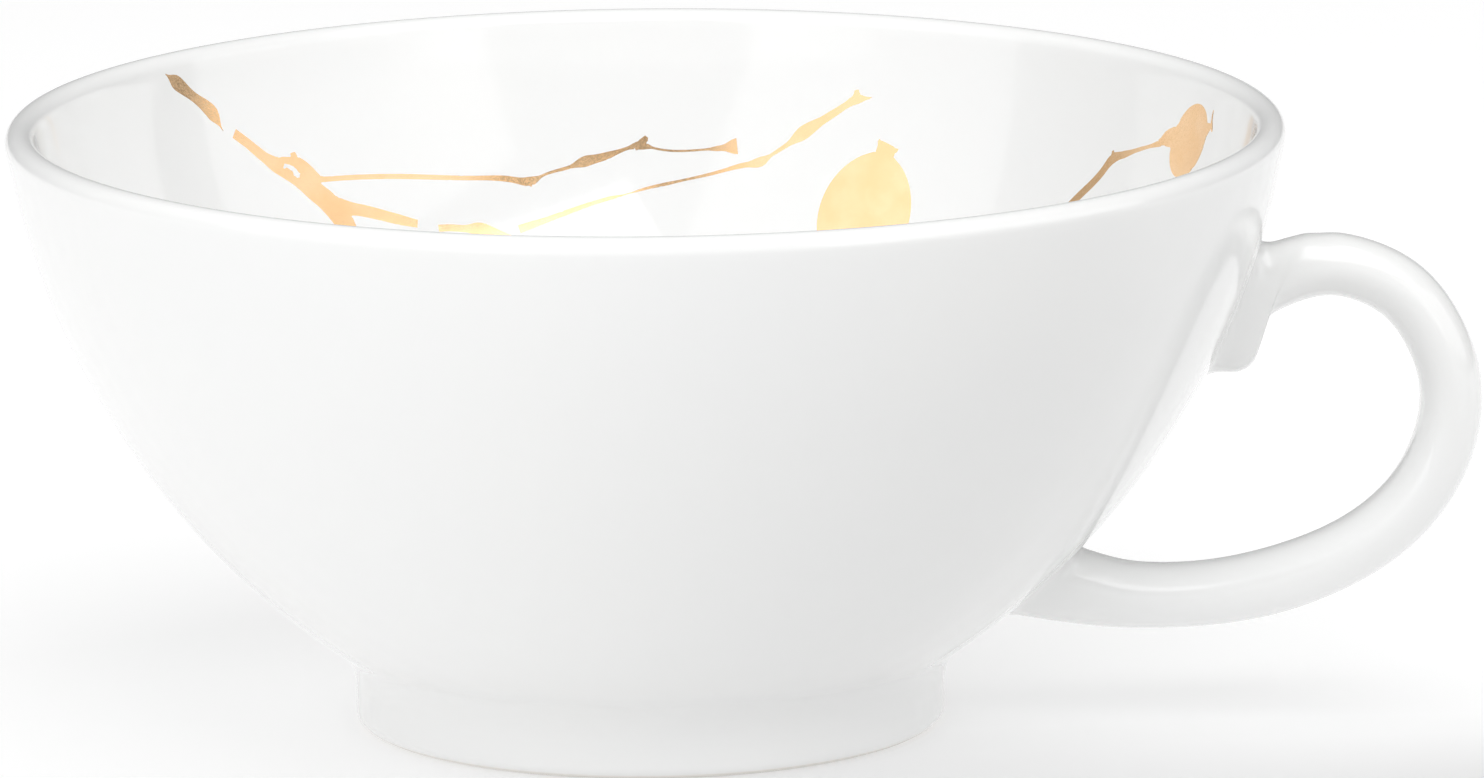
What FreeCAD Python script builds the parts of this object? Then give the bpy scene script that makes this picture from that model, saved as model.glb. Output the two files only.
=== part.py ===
"""A porcelain teacup: bowl, foot ring, ear-shaped handle, the slip that lutes the handle on, and gold
lustre decoration inside the lip.

Millimetres, +Z up. The origin is the centre of the circle that the cup stands on, and the handle
points along +X. Bearings on the inner wall are degrees from +Y, positive towards the handle, and
depths are measured down from the top of the lip.
"""

import FreeCAD, Part
import math
import os

import Sketcher
from FreeCAD import Vector

doc = FreeCAD.newDocument("teacup")

# ---------------------------------------------------------------- driving dimensions

SIZES = (
    ("rim_radius", 55.0),        # outermost radius of the lip
    ("cup_height", 52.5),        # top of the lip above the table
    ("wall", 2.6),               # side wall, and the full round of the lip
    ("bowl_curve", 66.4),        # radius of the outer wall's arc
    ("curve_rise", 61.4),        # height of that arc's centre
    ("foot_rise", 7.0),          # underside of the bowl, where the foot ring is joined
    ("floor_thickness", 3.2),    # floor of the bowl at the middle
    ("floor_turn", 30.0),        # radius of the turn from the floor into the wall
    ("foot_radius", 25.5),       # outer wall of the foot ring
    ("foot_bore", 21.6),         # inner radius of the foot ring at the table
    ("foot_bore_top", 20.6),     # inner radius of the foot ring at the bowl
    ("foot_edge", 1.1),          # rounding of the foot's two lower edges
    ("foot_sweep", 4.6),         # hollow curve from the foot's wall up to the bowl
    ("foot_sweep_turn", 55.0),   # degrees that the hollow curve turns through
    ("handle_width", 7.2),       # strap, across
    ("handle_round", 2.45),      # rounding along the strap
    ("spur_width", 6.0),         # spur under the upper root, across
    ("spur_round", 0.8),         # rounding of the spur
    ("slip_layer", 0.3),         # slip between the handle's roots and the bowl
    ("gold_film", 0.12),         # thickness of the fired gold
    ("gold_from", 1.3),          # depth below the lip where gold may start
    ("gold_to", 30.0),           # depth below the lip where gold must end
)

sheet = doc.addObject("Spreadsheet::Sheet", "sizes")
for row, (alias, value) in enumerate(SIZES, start=1):
    sheet.set("A%d" % row, alias)
    sheet.set("B%d" % row, str(value))
    sheet.setAlias("B%d" % row, alias)
doc.recompute()


def size(alias):
    """The value of one cell of the sheet."""
    return float(getattr(sheet, alias))


# The lip is a full round, and the outer wall's arc runs into it. That arc's centre lies beyond the
# cup's axis, so its x is negative, and SETBACK is how far beyond.
lip_round = size("wall") / 2
lip_centre = Vector(size("rim_radius") - lip_round, size("cup_height") - lip_round, 0)
arc_to_lip = size("bowl_curve") - lip_round
drop_to_lip = size("curve_rise") - lip_centre.y
curve_centre = Vector(
    lip_centre.x - math.sqrt(arc_to_lip**2 - drop_to_lip**2), size("curve_rise"), 0
)
SETBACK = (
    "sqrt((sizes.bowl_curve - sizes.wall / 2) ^ 2"
    " - (sizes.curve_rise - sizes.cup_height + sizes.wall / 2) ^ 2)"
    " - sizes.rim_radius + sizes.wall / 2"
)
START, END, CENTRE = 1, 2, 3
ORIGIN, H_AXIS, V_AXIS = -1, -1, -2

# ---------------------------------------------------------------- helpers


def new_body(name):
    """A PartDesign body with its own name."""
    body = doc.addObject("PartDesign::Body", name)
    body.Label = name
    return body


def new_sketch(body, name):
    """A sketch on the body's XZ plane, so its axes are X and Z."""
    sketch = body.newObject("Sketcher::SketchObject", name)
    plane = next(f for f in body.Origin.OriginFeatures if f.Role == "XZ_Plane")
    sketch.AttachmentSupport = [(plane, "")]
    sketch.MapMode = "FlatFace"
    return sketch


def line(start, end):
    """A straight line between two sketch points."""
    return Part.LineSegment(start, end)


def arc(centre, radius, first, last):
    """An arc of a circle, anticlockwise from one polar angle to another, in degrees."""
    circle = Part.Circle(centre, Vector(0, 0, 1), radius)
    return Part.ArcOfCircle(circle, math.radians(first), math.radians(last))


def polar(centre, radius, angle):
    """The point at a polar angle, in degrees, from a centre."""
    turn = math.radians(angle)
    return Vector(centre.x + radius * math.cos(turn), centre.y + radius * math.sin(turn), 0)


def curve(points):
    """A smooth curve through sketch points."""
    spline = Part.BSplineCurve()
    spline.interpolate([Vector(x, y, 0) for x, y in points])
    return spline


def rule(sketch, kind, *places):
    """One constraint that carries no size."""
    sketch.addConstraint(Sketcher.Constraint(kind, *places))


def dimension(sketch, name, expression, kind, *places):
    """One dimension, bound to the sheet."""
    index = sketch.addConstraint(Sketcher.Constraint(kind, *places))
    sketch.renameConstraint(index, name)
    sketch.setExpression("Constraints." + name, expression)


def revolve(body, sketch, name):
    """Turns a body's profile a full turn about the cup's axis."""
    turned = body.newObject("PartDesign::Revolution", name)
    turned.Profile = sketch
    turned.ReferenceAxis = (sketch, ["V_Axis"])
    turned.Angle = 360
    body.Tip = turned
    return turned


# ---------------------------------------------------------------- bowl


def bowl():
    """Wall, floor and lip: the outer arc, the full round of the lip, the inner arc beside the outer
    one, a tighter turn into the floor, and a flat underside."""
    body = new_body("bowl")
    sketch = new_sketch(body, "bowl_profile")
    outer = size("bowl_curve")
    inner = outer - size("wall")
    rise = size("curve_rise")
    foot = size("foot_rise")
    floor = foot + size("floor_thickness")
    turn = size("floor_turn")

    rim_angle = -math.degrees(math.asin(drop_to_lip / arc_to_lip))
    join_angle = -math.degrees(math.asin((rise - foot) / outer))
    turn_rise = floor + turn
    turn_gap = math.sqrt((inner - turn) ** 2 - (turn_rise - rise) ** 2)
    turn_centre = Vector(curve_centre.x + turn_gap, turn_rise, 0)
    turn_angle = math.degrees(math.atan2(turn_rise - rise, turn_gap))
    floor_edge = Vector(turn_centre.x, floor, 0)
    floor_middle = Vector(0, floor, 0)
    under_middle = Vector(0, foot, 0)
    join = polar(curve_centre, outer, join_angle)

    wall_out = sketch.addGeometry(arc(curve_centre, outer, join_angle, rim_angle))
    lip = sketch.addGeometry(arc(lip_centre, lip_round, rim_angle, rim_angle + 180))
    wall_in = sketch.addGeometry(arc(curve_centre, inner, turn_angle, rim_angle))
    corner = sketch.addGeometry(arc(turn_centre, turn, -90, turn_angle))
    bottom = sketch.addGeometry(line(floor_edge, floor_middle))
    middle = sketch.addGeometry(line(floor_middle, under_middle))
    under = sketch.addGeometry(line(under_middle, join))

    rule(sketch, "Coincident", wall_out, CENTRE, wall_in, CENTRE)
    rule(sketch, "Tangent", wall_out, END, lip, START)
    rule(sketch, "Tangent", lip, END, wall_in, END)
    rule(sketch, "Tangent", wall_in, START, corner, END)
    rule(sketch, "Tangent", corner, START, bottom, START)
    rule(sketch, "Coincident", bottom, END, middle, START)
    rule(sketch, "Coincident", middle, END, under, START)
    rule(sketch, "Coincident", under, END, wall_out, START)
    rule(sketch, "Horizontal", bottom)
    rule(sketch, "Horizontal", under)
    rule(sketch, "PointOnObject", middle, START, V_AXIS)
    rule(sketch, "PointOnObject", middle, END, V_AXIS)
    dimension(sketch, "outer", "sizes.bowl_curve", "Radius", wall_out, outer)
    dimension(sketch, "lip", "sizes.wall / 2", "Radius", lip, lip_round)
    dimension(sketch, "turn", "sizes.floor_turn", "Radius", corner, turn)
    dimension(sketch, "lip_out", "sizes.rim_radius - sizes.wall / 2",
              "DistanceX", ORIGIN, START, lip, CENTRE, lip_centre.x)
    dimension(sketch, "lip_up", "sizes.cup_height - sizes.wall / 2",
              "DistanceY", ORIGIN, START, lip, CENTRE, lip_centre.y)
    dimension(sketch, "rise", "sizes.curve_rise",
              "DistanceY", ORIGIN, START, wall_out, CENTRE, rise)
    dimension(sketch, "under", "sizes.foot_rise",
              "DistanceY", ORIGIN, START, middle, END, foot)
    dimension(sketch, "floor", "sizes.floor_thickness",
              "DistanceY", middle, END, middle, START, size("floor_thickness"))
    revolve(body, sketch, "bowl_turned")
    return body


# ---------------------------------------------------------------- foot ring


def foot_ring():
    """The ring under the bowl: a flat bearing land with rounded edges, a straight outer wall that
    sweeps out to the bowl, and a drafted inner wall."""
    body = new_body("foot_ring")
    sketch = new_sketch(body, "foot_profile")
    out = size("foot_radius")
    bore = size("foot_bore")
    bore_top = size("foot_bore_top")
    edge = size("foot_edge")
    sweep = size("foot_sweep")
    sweep_turn = size("foot_sweep_turn")
    top = size("foot_rise")

    out_edge = Vector(out - edge, edge, 0)
    in_edge = Vector(bore + edge, edge, 0)
    sweep_start = top - sweep * math.sin(math.radians(sweep_turn))
    sweep_centre = Vector(out + sweep, sweep_start, 0)
    join = polar(sweep_centre, sweep, 180 - sweep_turn)
    wall_low = Vector(out, edge, 0)
    wall_high = Vector(out, sweep_start, 0)
    land_out = Vector(out - edge, 0, 0)
    land_in = Vector(bore + edge, 0, 0)
    bore_low = Vector(bore, edge, 0)
    bore_high = Vector(bore_top, top, 0)

    land = sketch.addGeometry(line(land_in, land_out))
    round_out = sketch.addGeometry(arc(out_edge, edge, -90, 0))
    wall = sketch.addGeometry(line(wall_low, wall_high))
    hollow = sketch.addGeometry(arc(sweep_centre, sweep, 180 - sweep_turn, 180))
    lid = sketch.addGeometry(line(join, bore_high))
    draft = sketch.addGeometry(line(bore_high, bore_low))
    round_in = sketch.addGeometry(arc(in_edge, edge, 180, 270))

    rule(sketch, "Tangent", land, END, round_out, START)
    rule(sketch, "Tangent", round_out, END, wall, START)
    rule(sketch, "Tangent", wall, END, hollow, END)
    rule(sketch, "Coincident", hollow, START, lid, START)
    rule(sketch, "Coincident", lid, END, draft, START)
    rule(sketch, "Coincident", draft, END, round_in, START)
    rule(sketch, "Tangent", round_in, END, land, START)
    rule(sketch, "PointOnObject", land, START, H_AXIS)
    rule(sketch, "Horizontal", land)
    rule(sketch, "Vertical", wall)
    rule(sketch, "Horizontal", lid)
    dimension(sketch, "edge_out", "sizes.foot_edge", "Radius", round_out, edge)
    dimension(sketch, "edge_in", "sizes.foot_edge", "Radius", round_in, edge)
    dimension(sketch, "sweep", "sizes.foot_sweep", "Radius", hollow, sweep)
    dimension(sketch, "sweep_start",
              "sizes.foot_rise - sizes.foot_sweep * sin(sizes.foot_sweep_turn * 1deg)",
              "DistanceY", ORIGIN, START, wall, END, sweep_start)
    dimension(sketch, "out", "sizes.foot_radius",
              "DistanceX", ORIGIN, START, wall, START, out)
    dimension(sketch, "top", "sizes.foot_rise",
              "DistanceY", ORIGIN, START, lid, END, top)
    dimension(sketch, "bore", "sizes.foot_bore",
              "DistanceX", ORIGIN, START, draft, END, bore)
    dimension(sketch, "bore_low", "sizes.foot_edge",
              "DistanceY", ORIGIN, START, draft, END, edge)
    dimension(sketch, "bore_top", "sizes.foot_bore_top",
              "DistanceX", ORIGIN, START, draft, START, bore_top)
    revolve(body, sketch, "foot_turned")
    return body


# ---------------------------------------------------------------- handle

# The strap's outline in the plane of the handle, x outwards and z up. Both curves start at the upper
# root, inside the bowl's wall, and end at the lower root.
STRAP_OUTSIDE = (
    (50.5, 44.5), (54.6, 41.2), (58.9, 41.9), (65.7, 39.4), (70.1, 34.4), (71.8, 27.6),
    (70.2, 20.3), (65.4, 14.1), (57.4, 9.5), (48.3, 7.5), (39.8, 7.4), (31.6, 8.6), (27.0, 9.6),
)
STRAP_INSIDE = (
    (47.0, 30.5), (54.2, 35.1), (58.3, 36.4), (63.5, 34.4), (66.4, 28.2), (65.6, 23.3),
    (61.0, 17.9), (54.0, 14.7), (45.5, 13.2), (37.5, 14.2), (30.5, 16.6),
)
# The spur: its foot, the height of its root, and the outer edge that leans into the strap.
SPUR_FOOT = 30.0
SPUR_HEAD = 37.5
SPUR_ROOT = 45.0
SPUR_TIP = 1.1
SPUR_EDGE = (52.25, 54.4)


def pad(body, sketch, name, width):
    """Thickens a sketch equally to both sides."""
    thick = body.newObject("PartDesign::Pad", name)
    thick.Profile = sketch
    thick.SideType = "Symmetric"
    thick.setExpression("Length", width)
    body.Tip = thick
    return thick


def soften(body, base, name, radius, chosen):
    """Rounds the chosen edges of a body's last feature."""
    doc.recompute()
    edges = ["Edge%d" % (i + 1) for i, edge in enumerate(base.Shape.Edges) if chosen(edge)]
    rounded = body.newObject("PartDesign::Fillet", name)
    rounded.Base = (base, edges)
    rounded.setExpression("Radius", radius)
    body.Tip = rounded
    return rounded


def along_face(edge):
    """Whether an edge runs along one of a pad's two flat faces."""
    return edge.BoundBox.YLength < 0.01


def strap():
    """The ear-shaped strap, with both ends run on into the wall."""
    body = new_body("strap")
    sketch = new_sketch(body, "strap_outline")
    outside = sketch.addGeometry(curve(STRAP_OUTSIDE))
    inside = sketch.addGeometry(curve(STRAP_INSIDE))
    upper = sketch.addGeometry(line(Vector(*STRAP_INSIDE[0], 0), Vector(*STRAP_OUTSIDE[0], 0)))
    lower = sketch.addGeometry(line(Vector(*STRAP_INSIDE[-1], 0), Vector(*STRAP_OUTSIDE[-1], 0)))
    rule(sketch, "Coincident", upper, START, inside, START)
    rule(sketch, "Coincident", upper, END, outside, START)
    rule(sketch, "Coincident", lower, START, inside, END)
    rule(sketch, "Coincident", lower, END, outside, END)
    thick = pad(body, sketch, "strap_pad", "sizes.handle_width")
    soften(body, thick, "strap_rounded", "sizes.handle_round",
           lambda edge: along_face(edge) and isinstance(edge.Curve, Part.BSplineCurve))
    return body


def spur():
    """The small spur that runs down the bowl under the upper root."""
    body = new_body("spur")
    sketch = new_sketch(body, "spur_outline")
    tip_centre = Vector(SPUR_EDGE[0] - SPUR_TIP, SPUR_FOOT + SPUR_TIP, 0)
    foot_in = Vector(SPUR_ROOT, SPUR_FOOT, 0)
    foot_out = Vector(tip_centre.x, SPUR_FOOT, 0)
    edge_low = Vector(SPUR_EDGE[0], tip_centre.y, 0)
    edge_high = Vector(SPUR_EDGE[1], SPUR_HEAD, 0)
    root_high = Vector(SPUR_ROOT, SPUR_HEAD, 0)
    sketch.addGeometry(line(foot_in, foot_out))
    sketch.addGeometry(arc(tip_centre, SPUR_TIP, -90, 0))
    sketch.addGeometry(line(edge_low, edge_high))
    sketch.addGeometry(line(edge_high, root_high))
    sketch.addGeometry(line(root_high, foot_in))
    for side in range(5):
        rule(sketch, "Coincident", side, END, (side + 1) % 5, START)
    thick = pad(body, sketch, "spur_pad", "sizes.spur_width")
    soften(body, thick, "spur_rounded", "sizes.spur_round",
           lambda edge: along_face(edge) and edge.BoundBox.ZMin < SPUR_HEAD - 1
           and edge.BoundBox.XMax > SPUR_ROOT + 1)
    return body


def envelope(name, gap):
    """The space inside the bowl's outer wall, grown outwards by a gap. The gap is an expression."""
    body = new_body(name)
    sketch = new_sketch(body, name + "_profile")
    radius = size("bowl_curve")
    low, high = Vector(0, 0, 0), Vector(0, size("cup_height"), 0)
    first = -math.degrees(math.asin(size("curve_rise") / radius))
    last = -math.degrees(math.asin((size("curve_rise") - size("cup_height")) / radius))
    side = sketch.addGeometry(arc(curve_centre, radius, first, last))
    top = sketch.addGeometry(line(polar(curve_centre, radius, last), high))
    middle = sketch.addGeometry(line(high, low))
    base = sketch.addGeometry(line(low, polar(curve_centre, radius, first)))
    rule(sketch, "Coincident", side, END, top, START)
    rule(sketch, "Coincident", top, END, middle, START)
    rule(sketch, "Coincident", middle, END, base, START)
    rule(sketch, "Coincident", base, END, side, START)
    rule(sketch, "Horizontal", top)
    rule(sketch, "Horizontal", base)
    rule(sketch, "Coincident", middle, END, ORIGIN, START)
    rule(sketch, "PointOnObject", middle, START, V_AXIS)
    dimension(sketch, "grown", "sizes.bowl_curve + " + gap, "Radius", side, radius)
    dimension(sketch, "rise", "sizes.curve_rise",
              "DistanceY", ORIGIN, START, side, CENTRE, size("curve_rise"))
    dimension(sketch, "out", SETBACK,
              "DistanceX", side, CENTRE, ORIGIN, START, -curve_centre.x)
    dimension(sketch, "top", "sizes.cup_height",
              "DistanceY", ORIGIN, START, middle, START, size("cup_height"))
    revolve(body, sketch, name + "_turned")
    return body


def boolean(kind, name, base, tool):
    """A cut or a common of two objects."""
    made = doc.addObject("Part::" + kind, name)
    made.Base = base
    made.Tool = tool
    return made


BETWEEN_JOINTS = 23.0  # a height between the two slip joints


def half_space(name, low, high):
    """A box round the whole handle between two heights."""
    box = doc.addObject("Part::Box", name)
    box.setExpression("Length", "2 * sizes.rim_radius")
    box.setExpression("Width", "2 * sizes.rim_radius")
    box.Height = high - low
    box.Placement.Base = Vector(0, -size("rim_radius"), low)
    return box


def handle():
    """The handle as cast, and the two layers of slip that join it to the bowl."""
    casting = doc.addObject("Part::Fuse", "casting")
    casting.Base = strap()
    casting.Tool = spur()
    bare = envelope("bare_bowl", "0")
    slipped = envelope("slipped_bowl", "sizes.slip_layer")
    finished = boolean("Cut", "handle", casting, slipped)
    in_wall = boolean("Common", "casting_in_wall", casting, slipped)
    slip = boolean("Cut", "slip_layers", in_wall, bare)
    upper = boolean("Common", "upper_slip_joint", slip,
                    half_space("above", BETWEEN_JOINTS, size("cup_height")))
    lower = boolean("Common", "lower_slip_joint", slip, half_space("below", 0, BETWEEN_JOINTS))
    return finished, upper, lower


# ---------------------------------------------------------------- gold decoration


def on_wall(bearing, depth):
    """Where a point of the inner wall is, seen along +Y: x and z."""
    height = size("cup_height") - depth
    reach = size("bowl_curve") - size("wall")
    drop = size("curve_rise") - height
    radius = curve_centre.x + math.sqrt(reach**2 - drop**2)
    return Vector(radius * math.sin(math.radians(bearing)), 0, height)


def lustre_band():
    """A layer of gold over the whole inner wall, which each motif is cut from."""
    body = new_body("lustre_band")
    sketch = new_sketch(body, "band_profile")
    inner = size("bowl_curve") - size("wall")
    film = size("gold_film")
    rise = size("curve_rise")
    high = size("cup_height") - size("gold_from")
    low = size("cup_height") - size("gold_to")
    last = -math.degrees(math.asin((rise - high) / inner))
    first = -math.degrees(math.asin((rise - low) / inner))
    backed_low, backed_high = (polar(curve_centre, inner, angle) for angle in (first, last))
    free_low, free_high = (polar(curve_centre, inner - film, angle) for angle in (first, last))
    backed = sketch.addGeometry(arc(curve_centre, inner, first, last))
    free = sketch.addGeometry(arc(curve_centre, inner - film, first, last))
    top = sketch.addGeometry(line(backed_high, free_high))
    base = sketch.addGeometry(line(free_low, backed_low))
    rule(sketch, "Coincident", backed, END, top, START)
    rule(sketch, "Coincident", top, END, free, END)
    rule(sketch, "Coincident", free, START, base, START)
    rule(sketch, "Coincident", base, END, backed, START)
    rule(sketch, "Coincident", backed, CENTRE, free, CENTRE)
    dimension(sketch, "wall_face", "sizes.bowl_curve - sizes.wall", "Radius", backed, inner)
    dimension(sketch, "free_face", "sizes.bowl_curve - sizes.wall - sizes.gold_film",
              "Radius", free, inner - film)
    dimension(sketch, "rise", "sizes.curve_rise",
              "DistanceY", ORIGIN, START, backed, CENTRE, rise)
    dimension(sketch, "out", SETBACK,
              "DistanceX", backed, CENTRE, ORIGIN, START, -curve_centre.x)
    dimension(sketch, "backed_high", "sizes.cup_height - sizes.gold_from",
              "DistanceY", ORIGIN, START, backed, END, backed_high.y)
    dimension(sketch, "backed_low", "sizes.cup_height - sizes.gold_to",
              "DistanceY", ORIGIN, START, backed, START, backed_low.y)
    dimension(sketch, "free_high", "sizes.cup_height - sizes.gold_from",
              "DistanceY", ORIGIN, START, free, END, free_high.y)
    dimension(sketch, "free_low", "sizes.cup_height - sizes.gold_to",
              "DistanceY", ORIGIN, START, free, START, free_low.y)
    revolve(body, sketch, "band_turned")
    return body


ARC_MM = math.radians(1) * 48.0  # mm along the inner wall to a degree of bearing
STEPS = 5  # points to each span of an outline when it is laid on the wall
OVAL_POINTS = 12


def smooth(points):
    """A smooth curve through flat points, as closer points."""
    return curve(points).discretize(Number=STEPS * (len(points) - 1) + 1)


def outline(*sides):
    """A closed face from smooth sides, joined by straight lines where their ends are apart. Sides
    are drawn on the unrolled wall, as mm along it and mm of depth, and laid on the wall."""
    laid = []
    for side in sides:
        spline = Part.BSplineCurve()
        spline.interpolate([on_wall(point.x / ARC_MM, point.y) for point in side])
        laid.append(spline)
    edges = []
    for spline, following in zip(laid, laid[1:] + laid[:1]):
        edges.append(spline.toShape())
        if spline.EndPoint.distanceToPoint(following.StartPoint) > 1e-6:
            edges.append(Part.LineSegment(spline.EndPoint, following.StartPoint).toShape())
    return Part.Face(Part.Wire(edges))


def twig(*knots):
    """The outline of a twig: each knot is a bearing, a depth and half the twig's width there, in
    mm. The width eases from knot to knot, and the ends are cut square across."""
    spine = curve([(bearing * ARC_MM, depth) for bearing, depth, half in knots])
    stops = [spine.parameter(Vector(bearing * ARC_MM, depth, 0)) for bearing, depth, half in knots]
    left, right = [], []
    for i in range(len(knots) - 1):
        last = i == len(knots) - 2
        for step in range(STEPS + last):
            share = step / STEPS
            place = stops[i] + (stops[i + 1] - stops[i]) * share
            ease = (1 - math.cos(math.pi * share)) / 2
            half = knots[i][2] + (knots[i + 1][2] - knots[i][2]) * ease
            along = spine.tangent(place)[0]
            across = Vector(-along.y, along.x, 0) * half
            left.append(spine.value(place) + across)
            right.append(spine.value(place) - across)
    return outline(left, right[::-1])


def turned(flat, bearing, depth, lean):
    """Flat points in mm, across and up, put in place and turned by the lean in degrees away from
    straight up."""
    turn = math.radians(lean)
    placed = []
    for across, up in flat:
        side = across * math.cos(turn) + up * math.sin(turn)
        rise = up * math.cos(turn) - across * math.sin(turn)
        placed.append((bearing * ARC_MM + side, depth - rise))
    return placed


def egg(bearing, depth, length, width, lean):
    """The outline of a rosehip's body, which narrows towards its top."""
    half, tall = width / 2, length / 2
    side = ((0.0, 1.0), (0.46, 0.81), (0.82, 0.48), (1.0, 0.0), (0.75, -0.66), (0.0, -1.0))
    right = turned([(a * half, b * tall) for a, b in side], bearing, depth, lean)
    left = turned([(-a * half, b * tall) for a, b in reversed(side)], bearing, depth, lean)
    return outline(smooth(right + left[1:]))


def oval(bearing, depth, length, width, lean):
    """The outline of an ellipse."""
    angles = [2 * math.pi * i / OVAL_POINTS for i in range(OVAL_POINTS + 1)]
    flat = [(math.sin(a) * width / 2, math.cos(a) * length / 2) for a in angles]
    return outline(smooth(turned(flat, bearing, depth, lean)))


def prism(name, face):
    """Runs an outline back from the cup's middle plane through the far wall."""
    flat = doc.addObject("Part::Feature", name + "_outline")
    flat.Shape = face
    run = doc.addObject("Part::Extrusion", name + "_prism")
    run.Base = flat
    run.DirMode = "Custom"
    run.Dir = Vector(0, 1, 0)
    run.Solid = True
    run.setExpression("LengthFwd", "sizes.rim_radius")
    return run


def gold(name, band, outlines, hole=None):
    """One island of gold: the part of the band that its outlines cover, less its hole."""
    prisms = [prism("%s_%d" % (name, i), face) for i, face in enumerate(outlines, start=1)]
    tool = prisms[0]
    if len(prisms) > 1:
        tool = doc.addObject("Part::MultiFuse", name + "_joined")
        tool.Shapes = prisms
    if hole:
        tool = boolean("Cut", name + "_pierced", tool, prism(name + "_hole", hole))
    return boolean("Common", name, band, tool)


def decoration():
    """Every island of gold on the far side of the inner wall, from left to right."""
    band = lustre_band()
    bud = twig((-53.8, 1.35, 0.05), (-52.2, 2.4, 0.72), (-50.1, 3.9, 0.5), (-47.9, 5.6, 0.72),
               (-46.9, 7.3, 0.05))
    trunk = twig((-45.6, 7.6, 0.5), (-44.0, 8.7, 0.5), (-42.2, 10.1, 0.55), (-41.0, 10.9, 0.72),
                 (-39.1, 12.1, 0.68), (-36.4, 13.9, 1.0), (-34.6, 15.6, 1.1), (-33.4, 18.2, 0.9),
                 (-33.0, 21.0, 0.8))
    side_shoot = twig((-40.9, 10.5, 0.25), (-39.3, 10.65, 0.3), (-38.3, 10.9, 0.5), (-36.0, 13.1, 0.6))
    shoot_tip = twig((-38.6, 10.0, 0.3), (-38.3, 11.0, 0.45))
    limb = twig((-35.4, 14.6, 0.6), (-34.0, 15.2, 0.75), (-32.0, 15.65, 0.58), (-28.0, 16.7, 0.52),
                (-25.2, 17.4, 0.4))
    long_twig = twig((-36.6, 12.7, 0.3), (-34.0, 12.8, 0.27), (-26.0, 13.3, 0.27), (-18.0, 13.95, 0.25),
                     (-14.0, 14.3, 0.32), (-12.2, 14.5, 0.45), (-10.8, 14.05, 0.15), (-8.0, 13.45, 0.2),
                     (-6.3, 13.0, 0.52), (-4.6, 12.7, 0.4), (-2.0, 12.0, 0.2), (-0.4, 11.75, 0.4),
                     (1.0, 12.0, 0.13), (6.0, 12.1, 0.13), (7.8, 11.95, 0.3), (9.5, 11.75, 0.75))
    thorn = twig((-1.2, 11.9, 0.3), (-0.2, 11.4, 0.42), (0.2, 10.85, 0.15))
    nick = twig((-39.7, 11.05, 0.06), (-38.9, 11.45, 0.16), (-38.3, 12.0, 0.06))
    bough = twig((-23.2, 17.9, 0.35), (-21.6, 17.95, 0.35), (-20.2, 18.1, 0.35), (-18.2, 18.3, 0.65),
                 (-16.6, 18.8, 0.55), (-15.0, 19.3, 0.45))
    middle_twig = twig((-14.1, 18.5, 0.4), (-10.0, 17.6, 0.28), (-4.0, 16.2, 0.22), (-1.9, 15.82, 0.06),
                       (0.0, 15.4, 0.16), (2.0, 15.05, 0.2), (4.0, 14.7, 0.15), (8.0, 13.9, 0.2),
                       (10.4, 13.35, 0.28), (12.0, 13.05, 0.48), (13.2, 12.4, 0.2), (14.6, 11.6, 0.25),
                       (16.4, 10.4, 0.65), (18.6, 9.1, 0.4), (20.6, 7.9, 0.35), (21.9, 7.1, 0.5))
    twig_tips = [twig((21.9, 7.4, 0.4), (21.5, 6.4, 0.3)), twig((21.6, 7.3, 0.45), (23.3, 7.1, 0.12))]
    low_hip = egg(24.2, 17.0, 11.4, 9.0, 10.0)
    low_crown = twig((25.0, 12.8, 1.0), (25.4, 11.7, 0.9), (25.8, 10.8, 1.2))
    low_stalk = twig((23.2, 22.2, 0.7), (22.2, 26.4, 0.45), (19.8, 28.6, 0.6))
    side_hip = oval(67.6, 6.15, 7.2, 5.6, 33.0)
    side_collar = twig((61.6, 7.2, 0.3), (63.4, 6.5, 0.85), (65.0, 6.3, 1.2))
    side_crown = [twig((70.2, 5.0, 0.9), (71.9, 4.2, 0.35)),
                  twig((71.8, 2.7, 0.1), (71.8, 3.7, 0.22), (72.1, 4.3, 0.3), (72.5, 4.75, 0.1))]
    side_stem = twig((47.6, 16.8, 0.45), (50.6, 13.4, 0.42), (53.6, 10.6, 0.42), (54.6, 9.5, 0.5),
                     (56.0, 9.0, 0.38), (58.0, 8.35, 0.25), (60.0, 7.75, 0.22), (62.2, 7.1, 0.35))
    side_knuckle = twig((54.3, 8.7, 0.2), (54.6, 9.4, 0.4))
    return [
        gold("gold_bud", band, [bud]),
        gold("gold_branch", band, [trunk, side_shoot, shoot_tip, limb, long_twig, thorn], nick),
        gold("gold_bough", band, [bough]),
        gold("gold_middle_twig", band, [middle_twig, *twig_tips]),
        gold("gold_low_rosehip", band, [low_hip, low_crown, low_stalk]),
        gold("gold_side_rosehip", band, [side_hip, side_collar, *side_crown, side_stem, side_knuckle]),
    ]


# ---------------------------------------------------------------- build, check and write

handle_piece, upper_slip, lower_slip = handle()
PIECES = [bowl(), foot_ring(), handle_piece, upper_slip, lower_slip] + decoration()
doc.recompute()

for item in doc.Objects:
    if "Invalid" in item.State or "Error" in item.State:
        raise RuntimeError("%s failed: %s" % (item.Name, item.State))
for piece in PIECES:
    if piece.Shape.isNull() or not piece.Shape.isValid():
        raise RuntimeError("%s has no valid shape" % piece.Name)

os.makedirs("parts", exist_ok=True)
for piece in PIECES:
    piece.Label = piece.Name
    piece.Shape.exportStep(os.path.join("parts", piece.Name + ".step"))
    box = piece.Shape.BoundBox
    print("%-20s %d solid  %8.2f mm3  %.1f x %.1f x %.1f  z %.2f to %.2f" % (
        piece.Name, len(piece.Shape.Solids), piece.Shape.Volume,
        box.XLength, box.YLength, box.ZLength, box.ZMin, box.ZMax))
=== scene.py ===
import math

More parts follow.
